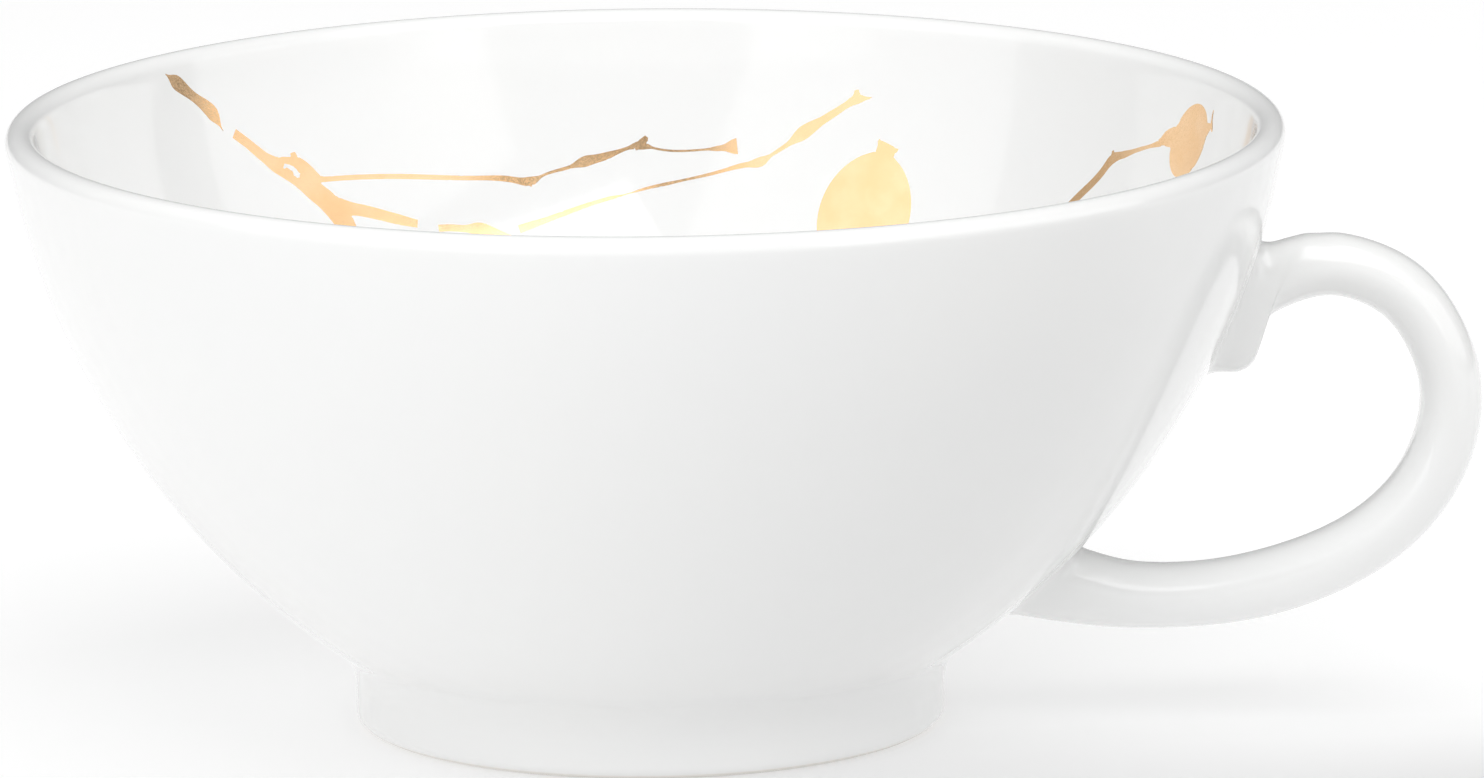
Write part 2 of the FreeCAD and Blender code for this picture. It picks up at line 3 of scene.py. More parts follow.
import bpy
import numpy as np
from mathutils import Matrix, Vector
from mathutils.geometry import delaunay_2d_cdt


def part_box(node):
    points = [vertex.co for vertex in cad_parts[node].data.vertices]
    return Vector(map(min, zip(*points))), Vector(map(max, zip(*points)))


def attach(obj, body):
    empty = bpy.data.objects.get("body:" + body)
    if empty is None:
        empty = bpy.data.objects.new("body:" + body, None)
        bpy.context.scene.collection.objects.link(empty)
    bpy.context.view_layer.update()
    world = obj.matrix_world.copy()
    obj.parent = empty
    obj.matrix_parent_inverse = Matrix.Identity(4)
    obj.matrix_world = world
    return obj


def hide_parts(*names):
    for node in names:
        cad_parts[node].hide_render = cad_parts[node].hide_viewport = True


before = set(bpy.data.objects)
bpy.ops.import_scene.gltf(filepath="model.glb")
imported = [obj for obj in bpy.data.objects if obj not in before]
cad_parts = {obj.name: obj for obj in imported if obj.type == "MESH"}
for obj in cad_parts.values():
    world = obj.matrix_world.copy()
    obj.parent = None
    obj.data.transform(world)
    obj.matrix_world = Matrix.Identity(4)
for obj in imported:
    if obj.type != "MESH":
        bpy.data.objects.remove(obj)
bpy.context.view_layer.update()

# The cup is drawn in millimetres and made in metres. Its axis is Z, its handle points along +X, and
# it stands on the plane Z = 0. Bearings on the inner wall are degrees from +Y, positive towards the
# handle, and depths are measured down from the top of the lip.
MM = 0.001

# ---------------------------------------------------------------- the cup's driving dimensions

bowl_low, bowl_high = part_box("bowl")
RIM_RADIUS = (bowl_high.y - bowl_low.y) / 2 / MM
CUP_HEIGHT = bowl_high.z / MM
FOOT_RISE = bowl_low.z / MM
WALL = 2.6            # side wall, and the full round of the lip
BOWL_CURVE = 66.4     # radius of the outer wall's arc
CURVE_RISE = 61.4     # height of that arc's centre
FLOOR_RISE = FOOT_RISE + 3.2
FLOOR_TURN = 30.0     # radius of the turn from the floor into the wall
FOOT_RADIUS = 25.5
FOOT_BORE = 21.6      # inner radius of the foot ring at the table
FOOT_BORE_TOP = 20.6  # inner radius of the foot ring under the bowl
FOOT_EDGE = 1.1       # rounding of the foot's lower edges
FOOT_SWEEP = 4.6      # hollow curve from the foot's wall up to the bowl
FOOT_SWEEP_TURN = 55.0
GLAZE_POOL = 1.2      # glaze that fills the corner inside the foot ring
POOL_END = 4.0        # polar angle at which that glaze runs into the foot's bore, in degrees
POOL_STEP = 0.05      # how far the bore's wall starts outside the pool's end

LIP_ROUND = WALL / 2
LIP_R = RIM_RADIUS - LIP_ROUND
LIP_Z = CUP_HEIGHT - LIP_ROUND
# The wall's arcs are centred this far from the axis, on its far side, so the distance is negative.
CURVE_R = LIP_R - math.sqrt((BOWL_CURVE - LIP_ROUND) ** 2 - (CURVE_RISE - LIP_Z) ** 2)
INNER_CURVE = BOWL_CURVE - WALL


# ---------------------------------------------------------------- mesh helpers


def make_piece(name, points, faces, material, nodes):
    """A smooth mesh in mm made into a piece that rides on the cup and replaces its CAD nodes."""
    mesh = bpy.data.meshes.new(name)
    mesh.from_pydata([Vector(p) * MM for p in points], [], faces)
    mesh.validate()
    mesh.polygons.foreach_set("use_smooth", [True] * len(mesh.polygons))
    mesh.materials.append(material)
    piece = bpy.data.objects.new(name, mesh)
    bpy.context.scene.collection.objects.link(piece)
    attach(piece, "root")
    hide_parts(*nodes)
    return piece


def arc(centre_r, centre_z, radius, first, last, count):
    """Points along an arc in the (r, z) plane, from one polar angle to another, in degrees."""
    angles = np.radians(np.linspace(first, last, count))
    return [(centre_r + radius * math.cos(a), centre_z + radius * math.sin(a)) for a in angles]


def run(start, end, count):
    """Points along a straight line, both ends included."""
    return [tuple(p) for p in np.linspace(start, end, count)]


def natural_spline(knots, stations, wanted):
    """A natural cubic spline through rows of knots at the stations, read at the wanted places."""
    knots = np.asarray(knots, float)
    stations = np.asarray(stations, float)
    step = np.diff(stations)
    count = len(stations)
    system = np.eye(count)
    right = np.zeros_like(knots)
    for i in range(1, count - 1):
        system[i, i - 1 : i + 2] = step[i - 1], 2 * (step[i - 1] + step[i]), step[i]
        slope_after = (knots[i + 1] - knots[i]) / step[i]
        slope_before = (knots[i] - knots[i - 1]) / step[i - 1]
        right[i] = 6 * (slope_after - slope_before)
    bend = np.linalg.solve(system, right)
    span = np.clip(np.searchsorted(stations, wanted, side="right") - 1, 0, count - 2)
    width = step[span][:, None]
    ahead = (stations[span + 1] - wanted)[:, None] / width
    behind = 1 - ahead
    return (
        ahead * knots[span]
        + behind * knots[span + 1]
        + ((ahead**3 - ahead) * bend[span] + (behind**3 - behind) * bend[span + 1]) * width**2 / 6
    )


# ---------------------------------------------------------------- node helpers


def new_material(name):
    """An empty node material with its output and one Principled shader."""
    material = bpy.data.materials.new(name)
    material.use_nodes = True
    tree = material.node_tree
    tree.nodes.clear()
    out = tree.nodes.new("ShaderNodeOutputMaterial")
    shader = tree.nodes.new("ShaderNodeBsdfPrincipled")
    tree.links.new(shader.outputs["BSDF"], out.inputs["Surface"])
    return material, tree, shader


def object_place(tree):
    """Where a point of the surface is, in metres."""
    return tree.nodes.new("ShaderNodeTexCoord").outputs["Object"]


def apart(tree, vector):
    """The X, Y and Z of a vector, each as a value."""
    node = tree.nodes.new("ShaderNodeSeparateXYZ")
    tree.links.new(vector, node.inputs["Vector"])
    return node.outputs


def noise(tree, place, scale, detail=2.0):
    """A noise value between 0 and 1. The scale is features to the metre."""
    node = tree.nodes.new("ShaderNodeTexNoise")
    node.inputs["Scale"].default_value = scale
    node.inputs["Detail"].default_value = detail
    tree.links.new(place, node.inputs["Vector"])
    return node.outputs["Fac"]


def remap(tree, value, low, high, to_low, to_high):
    """A value carried smoothly from one range to another."""
    node = tree.nodes.new("ShaderNodeMapRange")
    node.interpolation_type = "SMOOTHSTEP"
    tree.links.new(value, node.inputs["Value"])
    sockets = ("From Min", "From Max", "To Min", "To Max")
    for socket, number in zip(sockets, (low, high, to_low, to_high)):
        node.inputs[socket].default_value = number
    return node.outputs["Result"]


def blend_value(tree, factor, first, second):
    """A value that goes from the first to the second, a plain number, with the factor."""
    node = tree.nodes.new("ShaderNodeMix")
    tree.links.new(factor, node.inputs["Factor"])
    tree.links.new(first, node.inputs[2])
    node.inputs[3].default_value = second
    return node.outputs[0]


def blend_colour(tree, factor, first, second):
    """A colour that goes from the first to the second with the factor."""
    node = tree.nodes.new("ShaderNodeMix")
    node.data_type = "RGBA"
    tree.links.new(factor, node.inputs["Factor"])
    for socket, colour in ((node.inputs[6], first), (node.inputs[7], second)):
        if isinstance(colour, tuple):
            socket.default_value = (*colour, 1.0)
        else:
            tree.links.new(colour, socket)
    return node.outputs[2]


def bump(tree, height, distance, strength, under=None):
    """A bump from a height value, over another normal if there is one."""
    node = tree.nodes.new("ShaderNodeBump")
    node.inputs["Distance"].default_value = distance
    node.inputs["Strength"].default_value = strength
    tree.links.new(height, node.inputs["Height"])
    if under is not None:
        tree.links.new(under, node.inputs["Normal"])
    return node.outputs["Normal"]


# ---------------------------------------------------------------- materials

NOISE_SPAN = (0.3, 0.7)    # where most of a noise's values lie

PORCELAIN = (0.905, 0.905, 0.895)
PORCELAIN_COOL = (0.885, 0.89, 0.89)
BARE_CLAY = (0.80, 0.775, 0.735)
BARE_HEIGHT = 0.30 * MM    # the bearing land is wiped clean of glaze up to here
GLAZED_HEIGHT = 0.48 * MM  # and fully glazed from here
BARE_ROUGHNESS = 0.8
GLAZE_CLOUD = 35.0         # features to the metre: changes of tone, of gloss, ripple, fine grain
GLAZE_SHEEN = 90.0
GLAZE_RIPPLE = 130.0
GLAZE_GRAIN = 1400.0
GLAZE_ROUGHNESS = (0.14, 0.20)
RIPPLE_HEIGHT = 0.06 * MM
GRAIN_HEIGHT = 0.006 * MM


def glazed_porcelain():
    """White porcelain under a clear glossy glaze, with the glaze's slow ripple, a little variation
    where it is thicker, and the bare land that the cup was fired on."""
    material, tree, shader = new_material("glazed_porcelain")
    place = object_place(tree)
    bare = remap(tree, apart(tree, place)["Z"], BARE_HEIGHT, GLAZED_HEIGHT, 1.0, 0.0)
    white = blend_colour(tree, noise(tree, place, GLAZE_CLOUD), PORCELAIN, PORCELAIN_COOL)
    tree.links.new(blend_colour(tree, bare, white, BARE_CLAY), shader.inputs["Base Color"])
    sheen = remap(tree, noise(tree, place, GLAZE_SHEEN, 3.0), *NOISE_SPAN, *GLAZE_ROUGHNESS)
    tree.links.new(blend_value(tree, bare, sheen, BARE_ROUGHNESS), shader.inputs["Roughness"])
    shader.inputs["IOR"].default_value = 1.5
    shader.inputs["Specular IOR Level"].default_value = 0.2
    shader.inputs["Coat Weight"].default_value = 0.9
    shader.inputs["Coat Roughness"].default_value = 0.05
    shader.inputs["Coat IOR"].default_value = 1.5
    ripple = bump(tree, noise(tree, place, GLAZE_RIPPLE, 1.0), RIPPLE_HEIGHT, 0.25)
    grain = bump(tree, noise(tree, place, GLAZE_GRAIN), GRAIN_HEIGHT, 0.25, ripple)
    tree.links.new(grain, shader.inputs["Normal"])
    tree.links.new(ripple, shader.inputs["Coat Normal"])
    return material


GOLD_LIGHT = (0.97, 0.67, 0.40)
GOLD_DEEP = (0.94, 0.61, 0.33)
GOLD_CLOUD = 260.0   # features to the metre: changes of tone, and the brushed grain
GOLD_GRAIN = 5200.0
GOLD_ROUGHNESS = (0.16, 0.26)
BRUSH_HEIGHT = 0.005 * MM


def gold_lustre():
    """Fired gold: a bright metal film with a fine brushed grain and slow changes of tone."""
    material, tree, shader = new_material("gold_lustre")
    place = object_place(tree)
    tone = remap(tree, noise(tree, place, GOLD_CLOUD, 3.0), *NOISE_SPAN, 0.0, 1.0)
    tree.links.new(blend_colour(tree, tone, GOLD_LIGHT, GOLD_DEEP), shader.inputs["Base Color"])
    brushed = noise(tree, place, GOLD_GRAIN)
    sheen = remap(tree, brushed, *NOISE_SPAN, *GOLD_ROUGHNESS)
    tree.links.new(sheen, shader.inputs["Roughness"])
    shader.inputs["Metallic"].default_value = 1.0
    tree.links.new(bump(tree, brushed, BRUSH_HEIGHT, 0.15), shader.inputs["Normal"])
    return material


FLOOR_TONES = ((0.54, 0.54, 0.54), (0.56, 0.56, 0.56))
FLOOR_CLOUD = 6.0                # features to the metre
# The floor's emission is painted light: it glows though it is no lamp, and it is dimmed in front of the
# cup on the right to paint shade on the cup's lower wall there.
FLOOR_GLOW = 0.52                # behind the cup
FLOOR_GLOW_FRONT = (0.43, 0.02)  # in front of it, at its left and at its right
GLOW_DEPTH = (-0.06, 0.02)       # Y, in metres, over which the front's glow becomes the back's
GLOW_WIDTH = (-0.08, 0.10)       # X, in metres, over which the front's glow fades to the right


def glowing_floor():
    """A plain white floor with a painted glow: it gives off light though it is no lamp, so that shadows
    on it stay soft. The glow is weakest in front of the cup on the right, which paints shade on the
    cup's lower wall there and a darker patch on the floor."""
    material, tree, shader = new_material("glowing_floor")
    place = object_place(tree)
    tone = blend_colour(tree, noise(tree, place, FLOOR_CLOUD), *FLOOR_TONES)
    tree.links.new(tone, shader.inputs["Base Color"])
    shader.inputs["Roughness"].default_value = 0.7
    shader.inputs["Specular IOR Level"].default_value = 0.2
    shader.inputs["Emission Color"].default_value = (1.0, 1.0, 1.0, 1.0)
    axes = apart(tree, place)
    back = remap(tree, axes["Y"], *GLOW_DEPTH, 0.0, 1.0)
    front = remap(tree, axes["X"], *GLOW_WIDTH, *FLOOR_GLOW_FRONT)
    # Painted glow: the floor's emission, weakest in front of the cup on the right.
    tree.links.new(blend_value(tree, back, front, FLOOR_GLOW), shader.inputs["Emission Strength"])
    return material


# ---------------------------------------------------------------- bowl and foot ring

TURNS = 288        # facets round the cup
LEAST_STEP = 0.02  # closer points of the profile are taken as one


def cup_profile():
    """The glazed surface in the (r, z) plane, from the middle of the underside round the foot and
    the outer wall, over the lip and down the inside to the middle of the floor."""
    pool_r = FOOT_BORE_TOP - GLAZE_POOL
    pool_z = FOOT_RISE - GLAZE_POOL
    sweep_z = FOOT_RISE - FOOT_SWEEP * math.sin(math.radians(FOOT_SWEEP_TURN))
    join = -math.degrees(math.asin((CURVE_RISE - FOOT_RISE) / BOWL_CURVE))
    lip = -math.degrees(math.asin((CURVE_RISE - LIP_Z) / (BOWL_CURVE - LIP_ROUND)))
    turn_z = FLOOR_RISE + FLOOR_TURN
    turn_gap = math.sqrt((INNER_CURVE - FLOOR_TURN) ** 2 - (turn_z - CURVE_RISE) ** 2)
    turn = math.degrees(math.atan2(turn_z - CURVE_RISE, turn_gap))
    stretches = (
        run((0, FOOT_RISE), (pool_r, FOOT_RISE), 10),
        arc(pool_r, pool_z, GLAZE_POOL, 90, POOL_END, 8),
        run((FOOT_BORE_TOP + POOL_STEP, pool_z), (FOOT_BORE, FOOT_EDGE), 6),
        arc(FOOT_BORE + FOOT_EDGE, FOOT_EDGE, FOOT_EDGE, 180, 270, 8),
        run((FOOT_BORE + FOOT_EDGE, 0), (FOOT_RADIUS - FOOT_EDGE, 0), 4),
        arc(FOOT_RADIUS - FOOT_EDGE, FOOT_EDGE, FOOT_EDGE, -90, 0, 8),
        run((FOOT_RADIUS, FOOT_EDGE), (FOOT_RADIUS, sweep_z), 4),
        arc(FOOT_RADIUS + FOOT_SWEEP, sweep_z, FOOT_SWEEP, 180, 180 - FOOT_SWEEP_TURN, 12),
        arc(CURVE_R, CURVE_RISE, BOWL_CURVE, join, lip, 64),
        arc(LIP_R, LIP_Z, LIP_ROUND, lip, lip + 180, 18),
        arc(CURVE_R, CURVE_RISE, INNER_CURVE, lip, turn, 44),
        arc(CURVE_R + turn_gap, turn_z, FLOOR_TURN, turn, -90, 28),
        run((CURVE_R + turn_gap, FLOOR_RISE), (0, FLOOR_RISE), 8),
    )
    points = []
    for stretch in stretches:
        for point in stretch:
            if not points or math.dist(point, points[-1]) > LEAST_STEP:
                points.append(point)
    return points


def turned_cup(material):
    """The bowl and its foot ring under one unbroken glaze."""
    profile = cup_profile()
    rings = profile[1:-1]
    points = [(0, 0, profile[0][1])]
    for r, z in rings:
        for i in range(TURNS):
            angle = 2 * math.pi * i / TURNS
            points.append((r * math.cos(angle), r * math.sin(angle), z))
    points.append((0, 0, profile[-1][1]))
    last = len(points) - 1
    faces = []
    for i in range(TURNS):
        after = (i + 1) % TURNS
        faces.append((0, 1 + after, 1 + i))
        for ring in range(len(rings) - 1):
            base = 1 + ring * TURNS
            faces.append((base + i, base + after, base + TURNS + after, base + TURNS + i))
        base = 1 + (len(rings) - 1) * TURNS
        faces.append((base + i, base + after, last))
    make_piece("glazed_cup", points, faces, material, ["bowl", "foot_ring"])


# ---------------------------------------------------------------- handle

# Sections of the strap from the upper root to the lower: the point on its outer edge, the point on
# its inner edge, both as (x, z), half its width, and how square its section is (2 is an ellipse).
# The low inner edges of the first seven make the spur. The strap ends at the bowl's outer wall, so
# the sections inside that wall only lead it there.
STRAP = (
    ((49.6, 40.0), (45.6, 30.1), 3.3, 3.0),
    ((52.4, 40.6), (49.4, 29.9), 3.3, 3.0),
    ((54.0, 41.0), (51.2, 30.0), 3.3, 2.9),
    ((55.0, 41.3), (52.2, 30.9), 3.3, 2.8),
    ((55.8, 41.5), (52.25, 32.3), 3.35, 2.7),
    ((56.7, 41.7), (52.85, 34.1), 3.4, 2.6),
    ((57.9, 41.75), (54.9, 35.5), 3.5, 2.3),
    ((59.7, 41.75), (57.8, 36.4), 3.6, 2.15),
    ((63.1, 40.85), (60.7, 36.1), 3.6, 2.15),
    ((66.7, 38.8), (63.4, 34.6), 3.6, 2.15),
    ((69.8, 35.0), (65.5, 31.6), 3.6, 2.15),
    ((71.7, 30.0), (66.5, 28.2), 3.6, 2.15),
    ((71.7, 24.6), (66.1, 24.6), 3.6, 2.15),
    ((69.7, 19.1), (64.2, 20.6), 3.6, 2.15),
    ((65.7, 14.2), (60.5, 17.15), 3.6, 2.15),
    ((59.6, 10.4), (55.4, 14.75), 3.6, 2.15),
    ((52.6, 8.1), (50.0, 13.35), 3.6, 2.15),
    ((45.6, 7.35), (45.3, 12.9), 3.6, 2.15),
    ((39.6, 7.45), (41.0, 13.2), 3.6, 2.15),
    ((34.4, 8.1), (37.6, 14.2), 3.6, 2.15),
    ((30.0, 8.9), (33.8, 15.3), 3.6, 2.15),
    ((26.5, 9.7), (30.0, 16.6), 3.6, 2.15),
)
AROUND = 64        # points round a section
ALONG = 150        # sections between the two roots
FINE = 1200        # sections that the roots are searched in
ROOT_STEPS = 10    # points down each root's fillet
ROOT_RISE = 1.7    # where the fillet leaves the strap, above the bowl
ROOT_SPREAD = 1.5  # how far the fillet runs out over the bowl
END_SINK = 0.02    # how far the fillet's end lies under the bowl's glaze
ROOT_SINK = 0.08   # how far one more ring lies under it, to close the joint
ROOT_TAIL = 0.4    # how far that ring lies beyond the fillet's end


def above_bowl(points):
    """How far points lie outside the bowl's outer wall."""
    r = np.hypot(points[..., 0], points[..., 1])
    return np.hypot(r - CURVE_R, points[..., 2] - CURVE_RISE) - BOWL_CURVE


def onto_bowl(points, lift=0.0):
    """Points moved square onto the bowl's outer wall, or to a lift above it."""
    r = np.hypot(points[..., 0], points[..., 1])
    out = r - CURVE_R
    up = points[..., 2] - CURVE_RISE
    scale = (BOWL_CURVE + lift) / np.hypot(out, up)
    share = (CURVE_R + out * scale) / r
    return np.stack((points[..., 0] * share, points[..., 1] * share, CURVE_RISE + up * scale), -1)


def bowl_normal(points):
    """The outward normal of the bowl's outer wall nearest to points."""
    normal = onto_bowl(points, 1.0) - onto_bowl(points)
    return normal / np.linalg.norm(normal, axis=-1, keepdims=True)


def strap_surface(count):
    """Points of the strap: sections along its length by points round a section."""
    knots = np.array([(*out, *inside, half, square) for out, inside, half, square in STRAP])
    spacing = np.linalg.norm(np.diff(knots[:, :4], axis=0), axis=1)
    stations = np.concatenate(([0], np.cumsum(spacing)))
    rows = natural_spline(knots, stations, np.linspace(0, stations[-1], count))
    turn = np.linspace(0, 2 * math.pi, AROUND, endpoint=False)
    out, inside = rows[:, 0:2], rows[:, 2:4]
    power = 2 / rows[:, 5:6]
    side = np.sign(np.cos(turn)) * np.abs(np.cos(turn)) ** power
    across = np.sign(np.sin(turn)) * np.abs(np.sin(turn)) ** power
    middle = (out + inside) / 2
    reach = (out - inside) / 2
    x = middle[:, 0:1] + reach[:, 0:1] * side
    z = middle[:, 1:2] + reach[:, 1:2] * side
    return np.stack((x, rows[:, 4:5] * across, z), -1)


def surface_normals(grid):
    """Outward normals of a tube of points."""
    along = np.gradient(grid, axis=0)
    around = np.roll(grid, -1, axis=1) - np.roll(grid, 1, axis=1)
    normal = np.cross(around, along)
    normal /= np.linalg.norm(normal, axis=-1, keepdims=True)
    middle = grid.mean(axis=1, keepdims=True)
    flip = np.sign(np.sum(normal * (grid - middle), axis=-1, keepdims=True))
    return normal * flip


def crossing(line, heights, level):
    """Where a line of points, coming from outside, first sinks to a level: its place and index."""
    below = int(np.argmax(heights < level))
    share = (heights[below - 1] - level) / (heights[below - 1] - heights[below])
    return line[below - 1] + (line[below] - line[below - 1]) * share, below - 1 + share


def root_fillet(line, normals):
    """The fillet at the end of one line of the strap, from the strap down to the bowl, and the
    place on the line where it starts. The line runs towards the bowl."""
    heights = above_bowl(line)
    start, place = crossing(line, heights, ROOT_RISE)
    hit, at = crossing(line, heights, 0.0)
    normal = normals[int(round(at))]
    up = bowl_normal(hit)
    outward = normal - up * np.dot(normal, up)
    outward /= np.linalg.norm(outward)
    end = onto_bowl(hit + outward * ROOT_SPREAD, -END_SINK)
    share = np.linspace(0, 1, ROOT_STEPS + 1)[1:, None]
    fillet = (1 - share) ** 2 * start + 2 * share * (1 - share) * hit + share**2 * end
    sunk = onto_bowl(end + outward * ROOT_TAIL, -ROOT_SINK)
    return np.vstack((fillet, sunk[None])), place


def read_line(line, places):
    """Points of a line at fractional indices."""
    base = np.clip(places.astype(int), 0, len(line) - 2)
    share = (places - base)[:, None]
    return line[base] * (1 - share) + line[base + 1] * share


def handle(material):
    """The strap with its spur, and the slip's fillets where its two roots meet the bowl."""
    grid = strap_surface(FINE)
    normals = surface_normals(grid)
    middle = FINE // 2
    columns = []
    for i in range(AROUND):
        line, normal = grid[:, i], normals[:, i]
        upper, up_place = root_fillet(line[middle::-1], normal[middle::-1])
        lower, low_place = root_fillet(line[middle:], normal[middle:])
        places = np.linspace(middle - up_place, middle + low_place, ALONG)
        columns.append(np.vstack((upper[::-1], read_line(line, places), lower)))
    rows = len(columns[0])
    points = [tuple(columns[i][row]) for row in range(rows) for i in range(AROUND)]
    faces = []
    for row in range(rows - 1):
        for i in range(AROUND):
            after = (i + 1) % AROUND
            base = row * AROUND
            faces.append((base + i, base + AROUND + i, base + AROUND + after, base + after))
    faces.append(tuple(range(AROUND)))
    faces.append(tuple(reversed(range((rows - 1) * AROUND, rows * AROUND))))
    nodes = ["handle", "upper_slip_joint", "lower_slip_joint"]
    make_piece("glazed_handle", points, faces, material, nodes)


# ---------------------------------------------------------------- gold decoration

WALL_RADIUS = 48.0  # of the inner wall, about halfway down the decoration
ARC_MM = math.radians(1) * WALL_RADIUS  # mm along the inner wall to a degree of bearing
GOLD_RISE = 0.04    # how far the gold stands above the glaze
GOLD_ROOT = -0.02   # where its edge ends, just under the glaze
GOLD_BACK = -0.04   # where its back lies
EDGE_WIDTH = 0.14   # width of the slope from the gold's face down to its edge
LEAST_FACE = 0.3    # the least share of a thin twig's width that its face keeps
EDGE_STEP = 0.35    # spacing of points along its outlines
FILL_STEP = 1.1     # spacing of points inside them
OVAL_POINTS = 40    # points round an oval
SAME_POINT = 1e-5   # outlines' points closer than this are one


def on_wall(along, depth, lift):
    """A point of the unrolled inner wall, as mm along it and mm of depth, laid on the cup."""
    height = CUP_HEIGHT - depth
    out = math.sqrt(INNER_CURVE**2 - (CURVE_RISE - height) ** 2)
    share = (INNER_CURVE - lift) / INNER_CURVE
    radius = CURVE_R + out * share
    height = CURVE_RISE - (CURVE_RISE - height) * share
    bearing = math.radians(along / ARC_MM)
    return radius * math.sin(bearing), radius * math.cos(bearing), height


def smooth(points):
    """Evenly spaced points on a smooth curve through flat points."""
    knots = np.asarray(points, float)
    stations = np.concatenate(([0], np.cumsum(np.linalg.norm(np.diff(knots, axis=0), axis=1))))
    count = max(3, int(stations[-1] / EDGE_STEP) + 1)
    return natural_spline(knots, stations, np.linspace(0, stations[-1], count))


def twig(*knots):
    """The two sides of a twig: each knot is a bearing, a depth and half the twig's width there."""
    flat = [(bearing * ARC_MM, depth) for bearing, depth, half in knots]
    stations = np.concatenate(([0], np.cumsum(np.linalg.norm(np.diff(flat, axis=0), axis=1))))
    spine = smooth(flat)
    place = np.linspace(0, stations[-1], len(spine))
    span = np.clip(np.searchsorted(stations, place, side="right") - 1, 0, len(knots) - 2)
    share = (place - stations[span]) / np.diff(stations)[span]
    ease = (1 - np.cos(math.pi * share)) / 2
    halves = np.array([half for bearing, depth, half in knots])
    half = halves[span] + (halves[span + 1] - halves[span]) * ease
    along = np.gradient(spine, axis=0)
    along /= np.linalg.norm(along, axis=1)[:, None]
    across = np.stack((-along[:, 1], along[:, 0]), -1)
    outer = np.vstack((spine + across * half[:, None], (spine - across * half[:, None])[::-1]))
    thin = np.maximum(half - EDGE_WIDTH, half * LEAST_FACE)[:, None]
    inner = np.vstack((spine + across * thin, (spine - across * thin)[::-1]))
    return outer, inner[1:-1]


def turned(flat, bearing, depth, lean):
    """A flat outline in mm, turned by the lean in degrees away from straight up and put in place."""
    turn = math.radians(lean)
    side = flat[:, 0] * math.cos(turn) + flat[:, 1] * math.sin(turn)
    rise = flat[:, 1] * math.cos(turn) - flat[:, 0] * math.sin(turn)
    return np.stack((bearing * ARC_MM + side, depth - rise), -1)


def with_edge(outer, half):
    """An outline and the same outline drawn in by the width of its edge."""
    middle = outer.mean(axis=0)
    return outer, middle + (outer - middle) * (1 - EDGE_WIDTH / half)


def egg(bearing, depth, length, width, lean):
    """A rosehip's body, which narrows towards its top."""
    half, tall = width / 2, length / 2
    side = ((0.0, 1.0), (0.46, 0.81), (0.82, 0.48), (1.0, 0.0), (0.75, -0.66), (0.0, -1.0))
    flat = [(a * half, b * tall) for a, b in side] + [(-a * half, b * tall) for a, b in side[-2::-1]]
    return with_edge(turned(smooth(flat)[:-1], bearing, depth, lean), half)


def oval(bearing, depth, length, width, lean):
    """An ellipse."""
    angles = np.linspace(0, 2 * math.pi, OVAL_POINTS, endpoint=False)
    flat = np.stack((np.sin(angles) * width / 2, np.cos(angles) * length / 2), -1)
    return with_edge(turned(flat, bearing, depth, lean), width / 2)


def inside(point, loop):
    """Whether a flat point is inside a closed loop."""
    x, y = point
    after = np.roll(loop, -1, axis=0)
    cuts = (loop[:, 1] > y) != (after[:, 1] > y)
    with np.errstate(divide="ignore", invalid="ignore"):
        at = loop[:, 0] + (y - loop[:, 1]) * (after[:, 0] - loop[:, 0]) / (after[:, 1] - loop[:, 1])
    return bool(np.count_nonzero(cuts & (x < at)) % 2)


def outside_hole(face, flat, hole):
    """Whether the middle of a flat face is outside a hole."""
    middle = sum((flat[i] for i in face), Vector((0, 0))) / len(face)
    return not inside(middle, hole)


def flat_film(shapes, holes):
    """The points and faces of a flat mesh that covers the shapes and leaves the holes open."""
    verts, loops = [], []
    for outer, inner in (*shapes, *holes):
        loops.append(list(range(len(verts), len(verts) + len(outer))))
        verts += [tuple(p) for p in outer]
    for outer, inner in shapes:
        verts += [tuple(p) for p in inner]
    low, high = np.min(verts, axis=0), np.max(verts, axis=0)
    for x in np.arange(low[0], high[0], FILL_STEP):
        for y in np.arange(low[1], high[1], FILL_STEP):
            if any(inside((x, y), inner) for outer, inner in shapes):
                verts.append((x, y))
    result = delaunay_2d_cdt([Vector(v) for v in verts], [], loops, 1, SAME_POINT)
    flat, faces = result[0], result[2]
    for outer, inner in holes:
        faces = [face for face in faces if outside_hole(face, flat, outer)]
    return flat, faces


def gold(name, node, material, shapes, holes=()):
    """One island of gold: a film that covers its shapes, closed at the back. Its thin edge is
    shaded as the wall is, so that it reads as laid flat on the glaze."""
    flat, faces = flat_film(shapes, holes)
    sides = {pair for face in faces for pair in zip(face, [*face[1:], face[0]])}
    rim = [(start, end) for start, end in sides if (end, start) not in sides]
    on_rim = {i for pair in rim for i in pair}
    lifts = [GOLD_ROOT if i in on_rim else GOLD_RISE for i in range(len(flat))]
    points = [on_wall(v.x, v.y, lift) for v, lift in zip(flat, lifts)]
    points += [on_wall(v.x, v.y, GOLD_BACK) for v in flat]
    count = len(flat)
    film = [tuple(reversed(face)) for face in faces]
    film += [tuple(i + count for i in face) for face in faces]
    film += [(start, end, end + count, start + count) for start, end in sorted(rim)]
    piece = make_piece(name, points, film, material, [node])
    raised = [Vector(on_wall(v.x, v.y, 1.0)) - Vector(on_wall(v.x, v.y, 0.0)) for v in flat]
    normals = [way.normalized() for way in raised]
    piece.data.normals_split_custom_set_from_vertices([*normals, *(-way for way in normals)])


